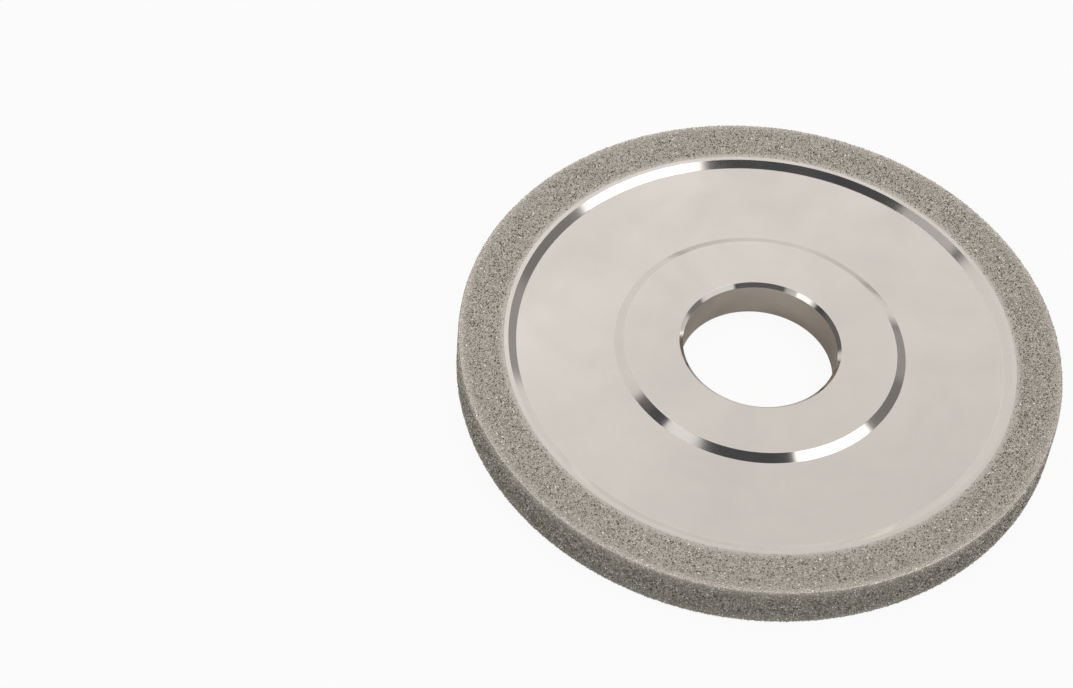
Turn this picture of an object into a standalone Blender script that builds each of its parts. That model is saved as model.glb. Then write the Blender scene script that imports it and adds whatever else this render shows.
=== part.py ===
"""Diamond grinding wheel, 125 mm across, 10 mm thick, for a 32 mm bore.

The wheel comes apart into two pieces. The core is one turned aluminium disc, with a
raised clamping boss, a sunk web and a narrow lip on each side. The coat is a thin
skin of diamond grit held in nickel, which wraps round the core's rim from one side
face to the other.

The wheel lies flat. Its axis is +Z, and the origin is on the axis, in the plane that
the wheel rests on.
"""
import math

import bpy

MM = 0.001

# The whole wheel
WHEEL_RADIUS = 62.5 * MM
WHEEL_THICKNESS = 10.0 * MM
BORE_RADIUS = 16.0 * MM
BORE_CHAMFER = 0.8 * MM

# The core's two sides, which are alike
BOSS_TOP_RADIUS = 28.3 * MM
BOSS_BASE_RADIUS = 30.2 * MM
WEB_OUTER_RADIUS = 50.4 * MM
LIP_INNER_RADIUS = 52.1 * MM
WEB_DEPTH = 1.0 * MM

# The diamond coat
COAT_INNER_RADIUS = 53.0 * MM
COAT_THICKNESS = 0.5 * MM
COAT_STEP = 0.3 * MM
COAT_CORNER_RADIUS = 0.4 * MM
COAT_CORNER_STEPS = 3

# Clearance between the coat and the seat that it sits in
SEAT_GAP = 0.3 * MM

TURN_STEPS = 96
MERGE_DISTANCE = 0.01 * MM
SHARP_ANGLE = math.radians(25)

HALF_THICKNESS = WHEEL_THICKNESS / 2
CORE_HALF_THICKNESS = HALF_THICKNESS - COAT_STEP
SEAT_HALF_THICKNESS = HALF_THICKNESS - COAT_THICKNESS - SEAT_GAP
SEAT_RADIUS = WHEEL_RADIUS - COAT_THICKNESS - SEAT_GAP


def clear_scene():
    """Remove every object that the file opened with."""
    for thing in list(bpy.data.objects):
        bpy.data.objects.remove(thing, do_unlink=True)


def make_material(name, color, roughness, metallic):
    """One Principled material with a plain colour."""
    material = bpy.data.materials.new(name)
    material.use_nodes = True
    shader = material.node_tree.nodes["Principled BSDF"]
    shader.inputs["Base Color"].default_value = (*color, 1.0)
    shader.inputs["Roughness"].default_value = roughness
    shader.inputs["Metallic"].default_value = metallic
    return material


def mirrored(upper_half):
    """Close an outline: its upper half, then the same points below, in reverse."""
    lower_half = [(radius, -height) for radius, height in reversed(upper_half)]
    return upper_half + lower_half


def corner_arc(radius, height, size, steps):
    """Points round an outer corner, from the side face down to the edge."""
    points = []
    for step in range(steps + 1):
        angle = math.pi / 2 * (1 - step / steps)
        points.append((
            radius - size + size * math.cos(angle),
            height - size + size * math.sin(angle),
        ))
    return points


def core_outline():
    """From the bore's wall over the boss, the web and the lip to the coat's seat."""
    web_half_thickness = CORE_HALF_THICKNESS - WEB_DEPTH
    lip_outer_radius = COAT_INNER_RADIUS - SEAT_GAP
    return mirrored([
        (BORE_RADIUS, CORE_HALF_THICKNESS - BORE_CHAMFER),
        (BORE_RADIUS + BORE_CHAMFER, CORE_HALF_THICKNESS),
        (BOSS_TOP_RADIUS, CORE_HALF_THICKNESS),
        (BOSS_BASE_RADIUS, web_half_thickness),
        (WEB_OUTER_RADIUS, web_half_thickness),
        (LIP_INNER_RADIUS, CORE_HALF_THICKNESS),
        (lip_outer_radius, CORE_HALF_THICKNESS),
        (lip_outer_radius, SEAT_HALF_THICKNESS),
        (SEAT_RADIUS, SEAT_HALF_THICKNESS),
    ])


def coat_outline():
    """A thin U: in under one side face, round the rim, and back under the other."""
    inner_half_thickness = HALF_THICKNESS - COAT_THICKNESS
    inner_radius = WHEEL_RADIUS - COAT_THICKNESS
    corner = corner_arc(WHEEL_RADIUS, HALF_THICKNESS, COAT_CORNER_RADIUS, COAT_CORNER_STEPS)
    return mirrored([
        (inner_radius, inner_half_thickness),
        (COAT_INNER_RADIUS, inner_half_thickness),
        (COAT_INNER_RADIUS, HALF_THICKNESS),
        *corner,
    ])


def turned_piece(name, outline, material, collection):
    """Turn a closed outline of (radius, height) points about the wheel's axis."""
    points = [(radius, 0.0, height + HALF_THICKNESS) for radius, height in outline]
    edges = [(index, (index + 1) % len(points)) for index in range(len(points))]
    section = bpy.data.meshes.new(name + "_section")
    section.from_pydata(points, edges, [])
    piece = bpy.data.objects.new(name, section)
    collection.objects.link(piece)

    screw = piece.modifiers.new("turn", "SCREW")
    screw.axis = "Z"
    screw.angle = math.tau
    screw.steps = TURN_STEPS
    screw.render_steps = TURN_STEPS
    screw.use_merge_vertices = True
    screw.merge_threshold = MERGE_DISTANCE

    graph = bpy.context.evaluated_depsgraph_get()
    solid = bpy.data.meshes.new_from_object(piece.evaluated_get(graph))
    solid.name = name
    piece.modifiers.clear()
    piece.data = solid
    bpy.data.meshes.remove(section)

    solid.shade_smooth()
    solid.set_sharp_from_angle(angle=SHARP_ANGLE)
    solid.materials.clear()
    solid.materials.append(material)
    return piece


def build_wheel():
    """Make both pieces in a collection named for the wheel."""
    collection = bpy.data.collections.new("diamond_grinding_wheel")
    bpy.context.scene.collection.children.link(collection)
    aluminium = make_material("turned_aluminium", (0.79, 0.78, 0.77), 0.3, 1.0)
    nickel_diamond = make_material("nickel_diamond", (0.34, 0.34, 0.31), 0.6, 0.6)
    turned_piece("wheel_core", core_outline(), aluminium, collection)
    turned_piece("diamond_coat", coat_outline(), nickel_diamond, collection)


clear_scene()
build_wheel()
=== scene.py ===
import math

import bpy
import numpy as np
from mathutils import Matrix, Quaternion, Vector


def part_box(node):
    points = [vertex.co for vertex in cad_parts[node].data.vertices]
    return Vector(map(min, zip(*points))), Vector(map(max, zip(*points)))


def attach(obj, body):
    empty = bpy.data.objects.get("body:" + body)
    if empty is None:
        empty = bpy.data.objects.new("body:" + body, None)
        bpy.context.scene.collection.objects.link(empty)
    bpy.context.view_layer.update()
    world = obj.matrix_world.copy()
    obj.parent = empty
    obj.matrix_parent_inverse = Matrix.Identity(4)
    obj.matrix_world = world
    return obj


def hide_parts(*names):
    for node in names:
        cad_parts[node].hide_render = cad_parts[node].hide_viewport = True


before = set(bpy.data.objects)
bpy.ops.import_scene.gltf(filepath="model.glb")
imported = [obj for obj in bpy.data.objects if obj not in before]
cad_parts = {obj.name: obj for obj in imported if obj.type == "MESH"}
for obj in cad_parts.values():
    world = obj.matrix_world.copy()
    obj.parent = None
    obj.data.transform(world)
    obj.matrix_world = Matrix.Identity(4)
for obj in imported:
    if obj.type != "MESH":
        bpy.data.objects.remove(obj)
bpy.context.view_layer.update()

# Diamond grinding wheel: a turned aluminium core whose rim is plated with diamond grit in nickel.
# The dictionaries give lengths in millimetres. The meshes are in metres, in the frame of the CAD.

coreLow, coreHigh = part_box("wheel_core")
coatLow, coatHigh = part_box("diamond_coat")
mm = 0.001
midHeight = (coatLow.z + coatHigh.z) / 2 / mm    # the plane that both sides mirror in
coreHalf = (coreHigh.z - coreLow.z) / 2 / mm    # from that plane to the boss and lip faces
coatHalf = (coatHigh.z - coatLow.z) / 2 / mm    # from that plane to the tips of the grit
wheelRadius = coatHigh.x / mm
print("frame loaded: wheel radius", round(wheelRadius, 3), "mm")


# Outlines and turned surfaces

def roundedOutline(corners, longest=2.0, arcStep=11):
    # Each corner is (radius, height, rounding, finish), and the outline is closed.
    # A corner becomes an arc of its rounding, tangent to both straights. Its normals turn
    # evenly from the left-hand normal of one straight to that of the next, by no more than
    # arcStep degrees at a time. Straights are split so that no step is longer than longest.
    # A finish lasts until the next corner.
    spots = np.array([corner[:2] for corner in corners], float)
    ahead = np.roll(spots, -1, axis=0) - spots
    ahead /= np.linalg.norm(ahead, axis=1)[:, None]
    behind = np.roll(ahead, 1, axis=0)
    points, normals, finishes = [], [], []
    for spot, before, after, (_, _, rounding, finish) in zip(spots, behind, ahead, corners):
        turn = math.atan2(before[0] * after[1] - before[1] * after[0], before @ after)
        steps = max(2, math.ceil(abs(turn) / math.radians(arcStep))) + 1
        heading = math.atan2(before[1], before[0]) + math.pi / 2
        angles = heading + turn * np.linspace(0, 1, steps)
        normal = np.stack([np.cos(angles), np.sin(angles)], 1)
        side = -math.copysign(1, turn)    # +1 on an outer corner, -1 in a hollow one
        start = spot - before * rounding * math.tan(abs(turn) / 2)
        middle = start - side * rounding * normal[0]
        points.append(middle + side * rounding * normal)
        normals.append(normal)
        finishes.append(np.full(steps, finish))
    for index in range(len(corners)):
        end, begin = points[index][-1], points[(index + 1) % len(corners)][0]
        parts = math.ceil(np.linalg.norm(begin - end) / longest)
        between = np.arange(1, parts)[:, None] / max(parts, 1)
        points[index] = np.vstack([points[index], end + (begin - end) * between])
        flat = np.repeat(normals[index][-1:], len(between), axis=0)
        normals[index] = np.vstack([normals[index], flat])
        finishes[index] = np.full(len(points[index]), finishes[index][0])
    return np.vstack(points), np.vstack(normals), np.concatenate(finishes)


def mirrorCorners(upper, lastFinish):
    # The upper corners, then the same below the middle plane in reverse. A finish belongs to
    # the straight after its corner, so below it comes from the corner that was before, and the
    # last straight, back up to the first corner, has lastFinish.
    finishes = [*(corner[3] for corner in reversed(upper[:-1])), lastFinish]
    lower = [(radius, -height, rounding, finish)
             for (radius, height, rounding, _), finish in zip(reversed(upper), finishes)]
    return upper + lower


def newPiece(name, mesh, materials):
    for material in materials:
        mesh.materials.append(material)
    piece = bpy.data.objects.new(name, mesh)
    bpy.context.scene.collection.objects.link(piece)
    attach(piece, "root")
    return piece


def fillMesh(name, points, faces, finishes=None):
    # points is (count, 3) in metres and faces is (count, corners), both whole arrays.
    mesh = bpy.data.meshes.new(name)
    corners = faces.shape[1]
    mesh.vertices.add(len(points))
    mesh.vertices.foreach_set("co", points.astype(np.float32).ravel())
    mesh.loops.add(faces.size)
    mesh.loops.foreach_set("vertex_index", faces.astype(np.int32).ravel())
    mesh.polygons.add(len(faces))
    mesh.polygons.foreach_set("loop_start", np.arange(0, faces.size, corners, dtype=np.int32))
    if finishes is not None:
        mesh.polygons.foreach_set("material_index", finishes.astype(np.int32))
    mesh.update(calc_edges=True)
    mesh.validate()
    return mesh


def turnedMesh(name, outline, turns):
    # A point of the outline at (radius, height) and a turn angle a give
    # (radius cos a, radius sin a, height). Both directions of the grid are closed.
    points, normals, finishes = outline
    angle = np.linspace(0, 2 * math.pi, turns, endpoint=False)[:, None]
    place = np.stack([points[:, 0] * np.cos(angle), points[:, 0] * np.sin(angle),
                      points[:, 1] + midHeight + 0 * angle], -1)
    facing = np.stack([normals[:, 0] * np.cos(angle), normals[:, 0] * np.sin(angle),
                       normals[:, 1] + 0 * angle], -1)
    rows = np.arange(turns)[:, None] * len(points)
    nextRows = np.roll(rows, -1, axis=0)
    along = np.arange(len(points))[None, :]
    nextAlong = np.roll(along, -1, axis=1)
    faces = np.stack([rows + along, rows + nextAlong, nextRows + nextAlong, nextRows + along], -1)
    finish = np.tile(np.broadcast_to(finishes, len(points)), turns)
    mesh = fillMesh(name, place.reshape(-1, 3) * mm, faces.reshape(-1, 4), finish)
    mesh.shade_smooth()
    mesh.normals_split_custom_set_from_vertices(facing.reshape(-1, 3).tolist())
    return mesh


# Shader nodes

def addNode(tree, kind, values=None, **settings):
    node = tree.nodes.new(kind)
    for name, value in settings.items():
        setattr(node, name, value)
    for name, value in (values or {}).items():
        node.inputs[name].default_value = value
    return node


def newMaterial(name, **constants):
    material = bpy.data.materials.new(name)
    material.use_nodes = True
    shader = material.node_tree.nodes["Principled BSDF"]
    for socket, value in constants.items():
        shader.inputs[socket].default_value = value
    return material, material.node_tree, shader


def newGroup(name, inputs, outputs):
    group = bpy.data.node_groups.new(name, "ShaderNodeTree")
    for socket, kind, value in inputs:
        made = group.interface.new_socket(socket, in_out="INPUT", socket_type=kind)
        if value is not None:
            made.default_value = value
    for socket, kind in outputs:
        group.interface.new_socket(socket, in_out="OUTPUT", socket_type=kind)
    return group, addNode(group, "NodeGroupInput"), addNode(group, "NodeGroupOutput")


def math2(tree, operation, first, second=None, clamp=False):
    node = addNode(tree, "ShaderNodeMath", operation=operation, use_clamp=clamp)
    for socket, value in zip(node.inputs, (first, second)):
        if isinstance(value, bpy.types.NodeSocket):
            tree.links.new(value, socket)
        elif value is not None:
            socket.default_value = value
    return node.outputs[0]


def makeAxisPlace():
    # The distance of a point from the wheel's axis, and its height, both in millimetres.
    group, source, result = newGroup("axisPlace", [], [("Radius", "NodeSocketFloat"),
                                                       ("Height", "NodeSocketFloat")])
    place = addNode(group, "ShaderNodeTexCoord")
    split = addNode(group, "ShaderNodeSeparateXYZ")
    group.links.new(place.outputs["Object"], split.inputs[0])
    across = math2(group, "MULTIPLY", split.outputs["X"], split.outputs["X"])
    deep = math2(group, "MULTIPLY", split.outputs["Y"], split.outputs["Y"])
    radius = math2(group, "SQRT", math2(group, "ADD", across, deep))
    group.links.new(math2(group, "MULTIPLY", radius, 1 / mm), result.inputs["Radius"])
    group.links.new(math2(group, "MULTIPLY", split.outputs["Z"], 1 / mm), result.inputs["Height"])
    return group


def makeToolMarks():
    # Grooves left by a turning tool: noise along one distance only, at the feed's pitch,
    # with every few grooves cut a little deeper, as a normal.
    group, source, result = newGroup(
        "toolMarks",
        [("Along", "NodeSocketFloat", 0.0), ("Pitch", "NodeSocketFloat", 0.1),
         ("Depth", "NodeSocketFloat", 0.001)],
        [("Normal", "NodeSocketVector")])
    steps = math2(group, "DIVIDE", source.outputs["Along"], source.outputs["Pitch"])
    fine = addNode(group, "ShaderNodeTexNoise", {"Scale": 1.0, "Detail": 2.0}, noise_dimensions="1D")
    broad = addNode(group, "ShaderNodeTexNoise", {"Scale": 0.13, "Detail": 1.0}, noise_dimensions="1D")
    group.links.new(steps, fine.inputs["W"])
    group.links.new(steps, broad.inputs["W"])
    height = math2(group, "MULTIPLY", fine.outputs[0], broad.outputs[0])
    bump = addNode(group, "ShaderNodeBump", {"Strength": 1.0})
    group.links.new(height, bump.inputs["Height"])
    group.links.new(math2(group, "MULTIPLY", source.outputs["Depth"], mm), bump.inputs["Distance"])
    group.links.new(bump.outputs[0], result.inputs["Normal"])
    return group


def makeClouds():
    # Broad soft blotches from 0 to 1, as handling and the cutting fluid leave on bare metal.
    group, source, result = newGroup(
        "clouds", [("Size", "NodeSocketFloat", 20.0), ("Contrast", "NodeSocketFloat", 1.0)],
        [("Mask", "NodeSocketFloat")])
    place = addNode(group, "ShaderNodeTexCoord")
    noise = addNode(group, "ShaderNodeTexNoise", {"Detail": 4.0, "Roughness": 0.55, "Distortion": 0.4})
    group.links.new(place.outputs["Object"], noise.inputs["Vector"])
    group.links.new(math2(group, "DIVIDE", 1 / mm, source.outputs["Size"]), noise.inputs["Scale"])
    centred = math2(group, "SUBTRACT", noise.outputs[0], 0.5)
    spread = math2(group, "MULTIPLY", centred, source.outputs["Contrast"])
    group.links.new(math2(group, "ADD", spread, 0.5, clamp=True), result.inputs["Mask"])
    return group


axisPlace, toolMarks, clouds = makeAxisPlace(), makeToolMarks(), makeClouds()


def useGroup(tree, group, values=None):
    node = addNode(tree, "ShaderNodeGroup", node_tree=group)
    for name, value in (values or {}).items():
        node.inputs[name].default_value = value
    return node


def mixColors(tree, mask, low, high):
    # low and high are colours, or sockets that give them.
    node = addNode(tree, "ShaderNodeMix", data_type="RGBA")
    ends = [socket for socket in node.inputs if socket.type == "RGBA"]
    for socket, color in zip(ends, (low, high)):
        if isinstance(color, bpy.types.NodeSocket):
            tree.links.new(color, socket)
        else:
            socket.default_value = (*color, 1)
    tree.links.new(mask, node.inputs["Factor"])
    return next(socket for socket in node.outputs if socket.type == "RGBA")


def spanValues(tree, mask, low, high):
    node = addNode(tree, "ShaderNodeMapRange", {"To Min": low, "To Max": high})
    tree.links.new(mask, node.inputs["Value"])
    return node.outputs[0]


def smoothStep(tree, value, zeroAt, oneAt):
    node = addNode(tree, "ShaderNodeMapRange", {"From Min": zeroAt, "From Max": oneAt},
                   interpolation_type="SMOOTHSTEP")
    tree.links.new(value, node.inputs["Value"])
    return node.outputs[0]


# The core

# Each finish: its darkest and lightest colour, its roughness where glossiest and where most
# matt, the pitch and depth of its tool marks, and the size of its blotches.
coreMetal = dict(
    blotchContrast=1.7,
    satinFace=dict(dark=(0.760, 0.728, 0.700), light=(0.890, 0.852, 0.812),
                   gloss=(0.285, 0.335), pitch=0.16, depth=0.0016, blotch=18.0),
    polishedChamfer=dict(dark=(0.82, 0.785, 0.75), light=(0.87, 0.84, 0.80),
                         gloss=(0.07, 0.13), pitch=0.05, depth=0.0002, blotch=9.0),
    boredWall=dict(dark=(0.62, 0.545, 0.475), light=(0.88, 0.79, 0.70),
                   gloss=(0.285, 0.36), pitch=0.35, depth=0.006, blotch=14.0),
)


def metalSkin(name, along):
    # Bare metal: its colour and roughness drift with the blotches, its normal has tool marks.
    look = coreMetal[name]
    material, tree, shader = newMaterial(name, Metallic=1.0)
    cloud = useGroup(tree, clouds, {"Size": look["blotch"], "Contrast": coreMetal["blotchContrast"]})
    place = useGroup(tree, axisPlace)
    marks = useGroup(tree, toolMarks, {"Pitch": look["pitch"], "Depth": look["depth"]})
    tree.links.new(place.outputs[along], marks.inputs["Along"])
    color = mixColors(tree, cloud.outputs["Mask"], look["dark"], look["light"])
    tree.links.new(color, shader.inputs["Base Color"])
    glossy, matt = look["gloss"]
    tree.links.new(spanValues(tree, cloud.outputs["Mask"], matt, glossy), shader.inputs["Roughness"])
    tree.links.new(marks.outputs["Normal"], shader.inputs["Normal"])
    return material


satinFace = metalSkin("satinFace", "Radius")
polishedChamfer = metalSkin("polishedChamfer", "Radius")
boredWall = metalSkin("boredWall", "Height")

coreShape = dict(
    boreRadius=16.0, boreChamfer=0.8, bossTop=28.3, bossFoot=30.2, webEdge=50.4, lipInner=52.1,
    coatEdge=53.0, webDepth=1.0, seatDepth=0.25, seatRadius=61.8,
    sharpRound=0.07, softRound=0.2, edgeRound=0.015, turns=512,
)
satin, polished, bored = 0, 1, 2


def makeCore():
    s = coreShape
    webHalf = coreHalf - s["webDepth"]
    seatHalf = coreHalf - s["seatDepth"]
    sharp, soft = s["sharpRound"], s["softRound"]
    outline = roundedOutline(mirrorCorners([
        (s["boreRadius"], coreHalf - s["boreChamfer"], sharp, polished),
        (s["boreRadius"] + s["boreChamfer"], coreHalf, sharp, satin),
        (s["bossTop"], coreHalf, sharp, polished),
        (s["bossFoot"], webHalf, soft, satin),
        (s["webEdge"], webHalf, soft, polished),
        (s["lipInner"], coreHalf, sharp, satin),
        (s["coatEdge"], coreHalf, s["edgeRound"], satin),
        (s["coatEdge"], seatHalf, sharp, satin),
        (s["seatRadius"], seatHalf, sharp, satin),
    ], bored))
    mesh = turnedMesh("turnedCore", outline, s["turns"])
    core = newPiece("turnedCore", mesh, [satinFace, polishedChamfer, boredWall])
    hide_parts("wheel_core")
    print("core turned:", len(mesh.polygons), "faces")


# The diamond coat

coatShape = dict(
    innerEdge=53.005, lipLevel=0.30, fadeWidth=1.5, bondBelowTips=0.17, skin=0.25,
    cornerRound=0.24, cornerSteps=6, turns=720,
)
# The grains: their spacing and size, how far that varies, how far they wander in spacings, how
# deep they sit in sizes, how far tips stand out, and how the grit thins out at the inner edge.
grit = dict(
    spacing=0.38, size=0.185, sizeSpread=0.18, wander=0.36, sink=(-0.35, 0.25), tallest=0.15,
    stretch=(0.75, 1.25), skew=0.16, fewestAtEdge=0.25, sizeAtEdge=0.6, bareEdge=0.06, seed=125,
)
gritTints = [(0.0, (0.08, 0.075, 0.060)), (0.16, (0.27, 0.255, 0.206)), (0.50, (0.60, 0.567, 0.492)),
             (0.80, (0.86, 0.822, 0.737)), (1.0, (1.0, 0.99, 0.96))]
# Pale grain colour near the rim's corner: partly wear, partly a painted highlight for the bright line that
# corner catches.
wornAndHighlightZone = dict(width=2.6, color=(0.95, 0.89, 0.81), share=0.75)    # beside the rim's corner
grainSurface = dict(metallic=0.7, ior=2.0, gloss=(0.20, 0.55))
bondSurface = dict(
    dark=(0.40, 0.378, 0.334), light=(0.64, 0.607, 0.546), gloss=(0.29, 0.40),
    grainSize=0.25, contrast=2.4, bumps=0.02,
    innerColor=(0.68, 0.645, 0.60), innerFrom=-0.4,    # where the grit thins out
    # Paler nickel at the rim's corners: partly wear, partly a painted highlight.
    cornerWearAndHighlightColor=(0.84, 0.795, 0.74), cornerFrom=-1.9, cornerTo=0.5, bareGloss=0.32,
)


def skinPath():
    # The coat's outer skin: (radius, height) and normal at each point of an open line from the
    # inner edge of the upper side, over the rim, to the inner edge of the lower side. Each
    # point is a point of a smaller rectangle plus cornerRound times its normal (cos t, sin t),
    # where t goes from straight up to straight down. At the inner edges the skin dips to the lip.
    s = coatShape
    quarter = np.linspace(0, math.pi / 2, s["cornerSteps"] + 1)
    turn = np.concatenate([[math.pi / 2] * 2, math.pi / 2 - quarter, -quarter, [-math.pi / 2] * 2])
    normals = np.stack([np.cos(turn), np.sin(turn)], 1)
    centreRadius = wheelRadius - s["bondBelowTips"] - s["cornerRound"]
    centreHeight = coatHalf - s["bondBelowTips"] - s["cornerRound"]
    radius = np.full(len(turn), centreRadius)
    radius[[0, -1]] = s["innerEdge"]
    radius[[1, -2]] = s["innerEdge"] + s["fadeWidth"]
    side = np.repeat([1, -1], len(turn) // 2)
    points = np.stack([radius, side * centreHeight], 1) + s["cornerRound"] * normals
    points[[0, -1], 1] = np.array([1, -1]) * (coatHalf - s["lipLevel"])
    return points, normals


def makeBond(material):
    # The skin, closed by a second skin inside it that rests over the core's seat.
    s = coatShape
    points, normals = skinPath()
    insideHeight = coatHalf - s["bondBelowTips"] - s["skin"]
    insideRadius = wheelRadius - s["bondBelowTips"] - s["skin"]
    inside = np.array([(s["innerEdge"], -insideHeight), (insideRadius, -insideHeight),
                       (insideRadius, insideHeight), (s["innerEdge"], insideHeight)])
    outline = np.vstack([points, inside]), np.vstack([normals, -np.sign(inside)]), 0
    mesh = turnedMesh("nickelBond", outline, s["turns"])
    bond = newPiece("nickelBond", mesh, [material])
    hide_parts("diamond_coat")
    print("bond plated:", len(mesh.polygons), "faces")


def randomTurns(rng, count):
    # Rotation matrices of random unit quaternions.
    quaternions = rng.normal(size=(count, 4))
    w, x, y, z = (quaternions / np.linalg.norm(quaternions, axis=1)[:, None]).T
    return np.stack([
        1 - 2 * (y * y + z * z), 2 * (x * y - z * w), 2 * (x * z + y * w),
        2 * (x * y + z * w), 1 - 2 * (x * x + z * z), 2 * (y * z - x * w),
        2 * (x * z - y * w), 2 * (y * z + x * w), 1 - 2 * (x * x + y * y),
    ], 1).reshape(-1, 3, 3)


def makeGrit(name, first, last, material, seed):
    # Grains stand in rows along the coat's skin. A row at radius r holds 2 pi r / spacing of
    # them, and each wanders off its even place. A grain is an eight-faced crystal with its six
    # tips moved a little, turned at random and sunk in the bond, and cut off at the coat's size.
    rng = np.random.default_rng(seed)
    points, normals = skinPath()
    distance = np.concatenate([[0], np.cumsum(np.linalg.norm(np.diff(points, axis=0), axis=1))])
    first, last = first * distance[-1], last * distance[-1]
    rowCount = round((last - first) / grit["spacing"])
    rows = first + (np.arange(rowCount) + 0.5) * (last - first) / rowCount
    around = 2 * math.pi * np.interp(rows, distance, points[:, 0])
    perRow = np.round(around / grit["spacing"]).astype(int)
    row = np.repeat(np.arange(len(rows)), perRow)
    inRow = np.arange(len(row)) - np.repeat(np.cumsum(perRow) - perRow, perRow)
    wander = rng.uniform(-grit["wander"], grit["wander"], (len(row), 2))
    angle = 2 * math.pi * (inRow + 0.5 * (row % 2) + wander[:, 0]) / perRow[row]
    along = rows[row] + wander[:, 1] * grit["spacing"]
    fromEdge = np.minimum(along, distance[-1] - along) / coatShape["fadeWidth"]
    share = grit["fewestAtEdge"] + (1 - grit["fewestAtEdge"]) * fromEdge
    kept = (fromEdge > grit["bareEdge"]) & (rng.uniform(0, 1, len(row)) < share)
    angle, along, fromEdge = angle[kept], along[kept], np.minimum(fromEdge[kept], 1)
    count = len(angle)

    radius, height = (np.interp(along, distance, points[:, axis]) for axis in (0, 1))
    outward, upward = (np.interp(along, distance, normals[:, axis]) for axis in (0, 1))
    surface = np.stack([radius * np.cos(angle), radius * np.sin(angle), height + midHeight], 1)
    normal = np.stack([outward * np.cos(angle), outward * np.sin(angle), upward], 1)
    normal /= np.linalg.norm(normal, axis=1)[:, None]
    size = grit["size"] * np.exp(rng.normal(0, grit["sizeSpread"], count))
    size *= grit["sizeAtEdge"] + (1 - grit["sizeAtEdge"]) * fromEdge
    middle = surface + normal * (size * rng.uniform(*grit["sink"], count))[:, None]

    tips = np.array([(1, 0, 0), (0, 1, 0), (-1, 0, 0), (0, -1, 0), (0, 0, 1), (0, 0, -1)], float)
    sides = np.array([(0, 1, 4), (1, 2, 4), (2, 3, 4), (3, 0, 4),
                      (1, 0, 5), (2, 1, 5), (3, 2, 5), (0, 3, 5)])
    crystal = tips * rng.uniform(*grit["stretch"], (count, 1, 3))
    crystal += rng.uniform(-grit["skew"], grit["skew"], (count, 6, 3))
    offset = np.einsum("nij,nkj->nki", randomTurns(rng, count), crystal) * size[:, None, None]
    place = middle[:, None] + offset
    tall = np.einsum("nkj,nj->nk", place - surface[:, None], normal)
    place -= np.maximum(tall - grit["tallest"], 0)[..., None] * normal[:, None]
    faces = (sides + len(tips) * np.arange(count)[:, None, None]).reshape(-1, 3)
    mesh = fillMesh(name, place.reshape(-1, 3) * mm, faces)
    mesh.shade_flat()
    fromCorner = wheelRadius - radius + coatHalf - np.abs(height) - 2 * coatShape["bondBelowTips"]
    addGrainValues(mesh, "grainTint", rng.uniform(0, 1, count))
    addGrainValues(mesh, "grainGloss", rng.uniform(0, 1, count))
    # How near each grain is to the rim's corner, which sets both its wear and its painted highlight.
    addGrainValues(mesh, "grainWearAndHighlight", np.clip(1 - fromCorner / wornAndHighlightZone["width"], 0, 1))
    layGrainMap(mesh, faces, crystal)
    piece = newPiece(name, mesh, [material])
    print(name, "set:", count, "grains")


def addGrainValues(mesh, name, values):
    # One value for each grain, given to all the points of its crystal.
    layer = mesh.attributes.new(name, "FLOAT", "POINT")
    tipsEach = len(mesh.vertices) // len(values)
    layer.data.foreach_set("value", np.repeat(values, tipsEach).astype(np.float32))


def layGrainMap(mesh, faces, crystal):
    # The map gives each grain one small cell of a square grid, and lays its crystal flat in it,
    # leaning over so that its upper sides don't lie exactly on its lower ones.
    lean, reach, share = 0.35, 1.4, 0.22
    number = np.arange(len(crystal))
    across = math.ceil(math.sqrt(len(crystal)))
    cell = np.stack([number % across, number // across], 1)
    flat = np.clip(crystal[:, :, :2] + lean * crystal[:, :, 2:], -reach, reach)
    places = ((cell[:, None] + 0.5 + share * flat) / across).reshape(-1, 2)
    layer = mesh.uv_layers.new(name="OFBake", do_init=False)
    layer.uv.foreach_set("vector", places[faces.ravel()].astype(np.float32).ravel())


def bondMetal():
    # Rough nickel between the grains. It runs out paler and smoother over the inner edge,
    # where the grit thins out. Towards the rim's corners it is smoother from wear, and paler from wear and
    # a painted highlight.
    look = bondSurface
    material, tree, shader = newMaterial("nickelPlate", Metallic=1.0)
    cloud = useGroup(tree, clouds, {"Size": look["grainSize"], "Contrast": look["contrast"]})
    mask = cloud.outputs["Mask"]
    place = useGroup(tree, axisPlace)
    edge, corner = coatShape["innerEdge"], wheelRadius + coatHalf
    inner = smoothStep(tree, place.outputs["Radius"],
                       edge + coatShape["fadeWidth"], edge + look["innerFrom"])
    above = math2(tree, "ABSOLUTE", math2(tree, "SUBTRACT", place.outputs["Height"], midHeight))
    outward = math2(tree, "ADD", place.outputs["Radius"], above)
    # Towards the rim's corners: smoother from wear, and paler from wear and a painted highlight.
    cornerWearAndHighlight = smoothStep(tree, outward, corner + look["cornerFrom"], corner + look["cornerTo"])
    nickel = mixColors(tree, mask, look["dark"], look["light"])
    faded = mixColors(tree, inner, nickel, look["innerColor"])
    tree.links.new(mixColors(tree, cornerWearAndHighlight, faded, look["cornerWearAndHighlightColor"]), shader.inputs["Base Color"])
    glossy, matt = look["gloss"]
    smooth = addNode(tree, "ShaderNodeMapRange", {"To Max": look["bareGloss"]})
    tree.links.new(math2(tree, "MAXIMUM", inner, cornerWearAndHighlight), smooth.inputs["Value"])
    tree.links.new(spanValues(tree, mask, matt, glossy), smooth.inputs["To Min"])
    tree.links.new(smooth.outputs[0], shader.inputs["Roughness"])
    bump = addNode(tree, "ShaderNodeBump", {"Strength": 1.0, "Distance": look["bumps"] * mm})
    tree.links.new(mask, bump.inputs["Height"])
    tree.links.new(bump.outputs[0], shader.inputs["Normal"])
    return material


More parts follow.
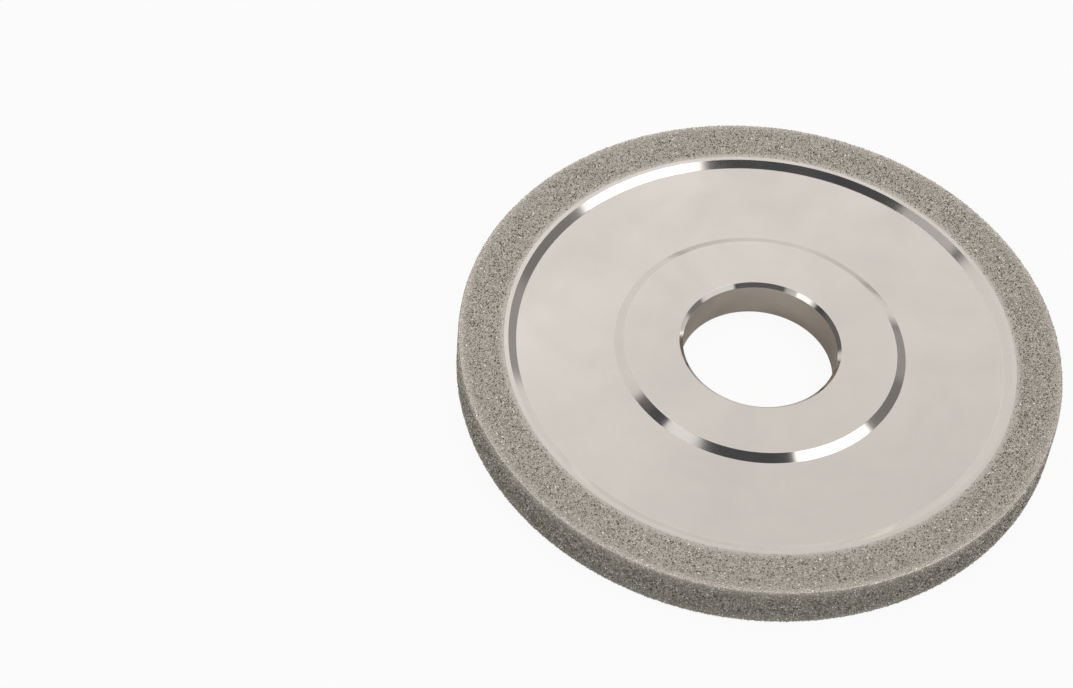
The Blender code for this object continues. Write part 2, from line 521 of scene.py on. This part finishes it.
def diamondSkin():
    material, tree, shader = newMaterial("diamondGrain", Metallic=grainSurface["metallic"],
                                         IOR=grainSurface["ior"])
    tint = addNode(tree, "ShaderNodeAttribute", attribute_name="grainTint")
    ramp = addNode(tree, "ShaderNodeValToRGB")
    while len(ramp.color_ramp.elements) < len(gritTints):
        ramp.color_ramp.elements.new(0.5)
    for element, (place, color) in zip(ramp.color_ramp.elements, gritTints):
        element.position = place
        element.color = (*color, 1)
    tree.links.new(tint.outputs["Fac"], ramp.inputs[0])
    # Grains near the rim's corner turn pale: wear and a painted highlight.
    wearAndHighlight = addNode(tree, "ShaderNodeAttribute", attribute_name="grainWearAndHighlight")
    share = math2(tree, "MULTIPLY", wearAndHighlight.outputs["Fac"], wornAndHighlightZone["share"])
    color = mixColors(tree, share, ramp.outputs[0], wornAndHighlightZone["color"])
    tree.links.new(color, shader.inputs["Base Color"])
    gloss = addNode(tree, "ShaderNodeAttribute", attribute_name="grainGloss")
    tree.links.new(spanValues(tree, gloss.outputs["Fac"], *grainSurface["gloss"]),
                   shader.inputs["Roughness"])
    return material


def makeCoat():
    # The grit is in three pieces, which meet where the rounded corners run into the rim.
    points, _ = skinPath()
    step = np.linalg.norm(np.diff(points, axis=0), axis=1)
    firstCorner = step[:len(step) // 2].sum() / step.sum()    # the middle step is the plain rim
    makeBond(bondMetal())
    diamond = diamondSkin()
    makeGrit("gritUpperFace", 0, firstCorner, diamond, grit["seed"])
    makeGrit("gritRim", firstCorner, 1 - firstCorner, diamond, grit["seed"] + 1)
    makeGrit("gritLowerFace", 1 - firstCorner, 1, diamond, grit["seed"] + 2)


# The studio

studio = dict(
    floorHalf=6.0, floorLevel=-0.2,    # its half width in metres, and just under the lowest grains
    floorWhite=1.03, floorGrey=0.66, shadowShare=0.10,
    room=(0.055, 0.058, 0.064), horizon=(0.98, 0.98, 0.98),
)
# Each panel: its azimuth from and to (from +Y towards +X), its elevation from and to, the
# softness of its edges, all in degrees, then its brightness and its colour. Where two
# overlap, the brighter one shows.
warmWhite, plainWhite = (1.0, 0.965, 0.93), (1.0, 0.985, 0.965)
panels = dict(
    backWall=(-46, 40, -8, 51, 5, 0.72, warmWhite),
    hotSpot=(-22, 46, 30, 49, 5, 1.0, warmWhite),
    hotSpotTop=(-34, 6, 40, 65, 6, 1.0, warmWhite),
    lowGlow=(0, 20, 1, 14, 6, 0.92, warmWhite),
    wallHigh=(-20, 52, 48, 60, 6, 0.34, warmWhite),
    wallTop=(2, 38, 58, 67, 5, 0.85, warmWhite),
    backWallLeft=(-70.5, -40, 28, 58, 4, 0.72, warmWhite),
    leftFill=(-80, -66, 40, 56, 4, 0.12, warmWhite),
    leftHaze=(-102, -46, -2, 28, 4, 0.13, warmWhite),
    leftLow=(-184, -128, 2, 26, 4, 1.2, plainWhite),
    leftMiddle=(-150, -112, 26, 42, 5, 0.58, plainWhite),
    rightLow=(52, 90, -6, 12, 4, 0.62, warmWhite),
    rightGap=(38, 62, 8, 50, 8, 0.32, warmWhite),
    rightGapFar=(60, 99, 8, 50, 4, 0.20, warmWhite),
    rightSoftbox=(85, 132, 39, 70, 3, 1.8, plainWhite),
    rightSoftboxSkirt=(98, 142, 22, 40, 4, 0.75, plainWhite),
    frontDim=(146, 200, 26, 48, 4, 0.11, plainWhite),
    frontDimLeft=(-200, -152, 26, 48, 4, 0.11, plainWhite),
    frontRight=(146, 200, 50, 65, 5, 0.75, plainWhite),
    frontLeft=(-200, -146, 50, 65, 5, 0.75, plainWhite),
    highLeft=(-72, -34, 66, 76, 4, 2.6, plainWhite),
    highRight=(42, 110, 60, 75, 4, 2.4, plainWhite),
    overhead=(-200, 200, 77, 100, 3, 0.80, plainWhite),
)
# Each lamp is a rectangle near the wheel: the azimuth and elevation it stands at, how far off
# it is and its width and height in metres, its brightness and its colour.
lamps = dict(
    leftSoftbox=(-117.5, 50.5, 0.65, 0.27, 0.38, 0.78, plainWhite),
    leftCard=(-76.4, 62.4, 0.488, 0.10, 0.10, 0.42, warmWhite),
)


def addLamp(name, azimuth, elevation, distance, width, height, brightness, color):
    lamp = bpy.data.lights.new(name, "AREA")
    lamp.shape = "RECTANGLE"
    lamp.size, lamp.size_y = width, height
    lamp.color = color
    lamp.energy = brightness * width * height * math.pi    # what a face of that brightness gives out
    a, e = math.radians(azimuth), math.radians(elevation)
    away = Vector((math.sin(a) * math.cos(e), math.cos(a) * math.cos(e), math.sin(e)))
    light = bpy.data.objects.new(name, lamp)
    light.location = Vector((0, 0, midHeight * mm)) + away * distance
    light.rotation_mode = "QUATERNION"
    light.rotation_quaternion = (-away).to_track_quat("-Z", "Y")
    light.visible_camera = False
    bpy.context.scene.collection.objects.link(light)


def makeSoftPanel():
    # A panel with soft edges: 1 inside its azimuths and elevations, falling to 0 over softness.
    group, source, result = newGroup(
        "softPanel",
        [("Azimuth", "NodeSocketFloat", 0.0), ("Elevation", "NodeSocketFloat", 0.0),
         ("Middle Azimuth", "NodeSocketFloat", 0.0), ("Middle Elevation", "NodeSocketFloat", 0.0),
         ("Half Width", "NodeSocketFloat", 10.0), ("Half Height", "NodeSocketFloat", 10.0),
         ("Softness", "NodeSocketFloat", 2.0)],
        [("Mask", "NodeSocketFloat")])
    masks = []
    for way, middle, half in (("Azimuth", "Middle Azimuth", "Half Width"),
                              ("Elevation", "Middle Elevation", "Half Height")):
        offset = math2(group, "SUBTRACT", source.outputs[way], source.outputs[middle])
        away = math2(group, "ABSOLUTE", offset)
        inside = math2(group, "SUBTRACT", source.outputs[half], away)
        part = math2(group, "DIVIDE", inside, source.outputs["Softness"])
        masks.append(math2(group, "ADD", part, 0.5, clamp=True))
    group.links.new(math2(group, "MULTIPLY", *masks), result.inputs["Mask"])
    return group


def makeWorld():
    # Panels round the wheel light it, and its polished chamfers mirror them. To the camera
    # the room is plain and pale.
    softPanel = makeSoftPanel()
    world = bpy.data.worlds.new("studio")
    bpy.context.scene.world = world
    world.use_nodes = True
    tree = world.node_tree
    towards = addNode(tree, "ShaderNodeTexCoord")
    split = addNode(tree, "ShaderNodeSeparateXYZ")
    tree.links.new(towards.outputs["Generated"], split.inputs[0])
    inDegrees = math.degrees(1)
    azimuth = math2(tree, "MULTIPLY",
                    math2(tree, "ARCTAN2", split.outputs["X"], split.outputs["Y"]), inDegrees)
    elevation = math2(tree, "MULTIPLY", math2(tree, "ARCSINE", split.outputs["Z"]), inDegrees)
    light = None
    for name, (left, right, low, high, softness, brightness, color) in panels.items():
        panel = useGroup(tree, softPanel, {
            "Middle Azimuth": (left + right) / 2, "Half Width": (right - left) / 2,
            "Middle Elevation": (low + high) / 2, "Half Height": (high - low) / 2,
            "Softness": softness})
        panel.label = name
        tree.links.new(azimuth, panel.inputs["Azimuth"])
        tree.links.new(elevation, panel.inputs["Elevation"])
        glow = mixColors(tree, panel.outputs["Mask"], studio["room"], [brightness * part for part in color])
        if light is None:
            light = glow
            continue
        brighter = addNode(tree, "ShaderNodeVectorMath", operation="MAXIMUM")
        tree.links.new(light, brighter.inputs[0])
        tree.links.new(glow, brighter.inputs[1])
        light = brighter.outputs[0]
    back = tree.nodes["Background"]
    tree.links.new(light, back.inputs["Color"])
    pale = addNode(tree, "ShaderNodeBackground", {"Color": (*studio["horizon"], 1)})
    path = addNode(tree, "ShaderNodeLightPath")
    mix = addNode(tree, "ShaderNodeMixShader")
    tree.links.new(path.outputs["Is Camera Ray"], mix.inputs[0])
    tree.links.new(back.outputs[0], mix.inputs[1])
    tree.links.new(pale.outputs[0], mix.inputs[2])
    tree.links.new(mix.outputs[0], tree.nodes["World Output"].inputs["Surface"])


def makeFloor():
    # A pale table lit from within, so that it stays white with only a faint shadow.
    half, level = studio["floorHalf"], studio["floorLevel"] * mm
    corners = np.array([(-half, -half, level), (half, -half, level),
                        (half, half, level), (-half, half, level)])
    mesh = fillMesh("floor", corners, np.array([[0, 1, 2, 3]]))
    material = bpy.data.materials.new("paleTable")
    material.use_nodes = True
    tree = material.node_tree
    tree.nodes.clear()
    grey = addNode(tree, "ShaderNodeBsdfDiffuse", {"Color": (*[studio["floorGrey"]] * 3, 1)})
    glow = addNode(tree, "ShaderNodeEmission", {"Color": (*[studio["floorWhite"]] * 3, 1)})
    path = addNode(tree, "ShaderNodeLightPath")
    mix = addNode(tree, "ShaderNodeMixShader")
    result = addNode(tree, "ShaderNodeOutputMaterial")
    share = math2(tree, "MULTIPLY", path.outputs["Is Camera Ray"], 1 - studio["shadowShare"])
    tree.links.new(share, mix.inputs[0])
    tree.links.new(grey.outputs[0], mix.inputs[1])
    tree.links.new(glow.outputs[0], mix.inputs[2])
    tree.links.new(mix.outputs[0], result.inputs["Surface"])
    mesh.materials.append(material)
    floor = bpy.data.objects.new("floor", mesh)
    bpy.context.scene.collection.objects.link(floor)


view = dict(
    place=(-70.1, -365.0, 447.2), aim=(-46.3, -2.4, 10.0), lens=93.1, sensor=36.0,
    roll=4.88,    # in degrees
    nearest=0.01, farthest=50,    # in metres
)


def makeCamera():
    # The camera looks down at the wheel from in front, with its right side a little raised.
    lens = bpy.data.cameras.new("camera")
    lens.lens, lens.sensor_width = view["lens"], view["sensor"]
    lens.clip_start, lens.clip_end = view["nearest"], view["farthest"]
    camera = bpy.data.objects.new("camera", lens)
    place, aim = Vector(view["place"]) * mm, Vector(view["aim"]) * mm
    level = (aim - place).to_track_quat("-Z", "Y")
    camera.location = place
    camera.rotation_mode = "QUATERNION"
    camera.rotation_quaternion = level @ Quaternion((0, 0, 1), math.radians(view["roll"]))
    bpy.context.scene.collection.objects.link(camera)
    bpy.context.scene.camera = camera


makeCamera()
makeCore()
makeCoat()
makeWorld()
makeFloor()
for lampName, values in lamps.items():
    addLamp(lampName, *values)
bpy.context.scene.view_settings.view_transform = "Standard"
print("studio set")
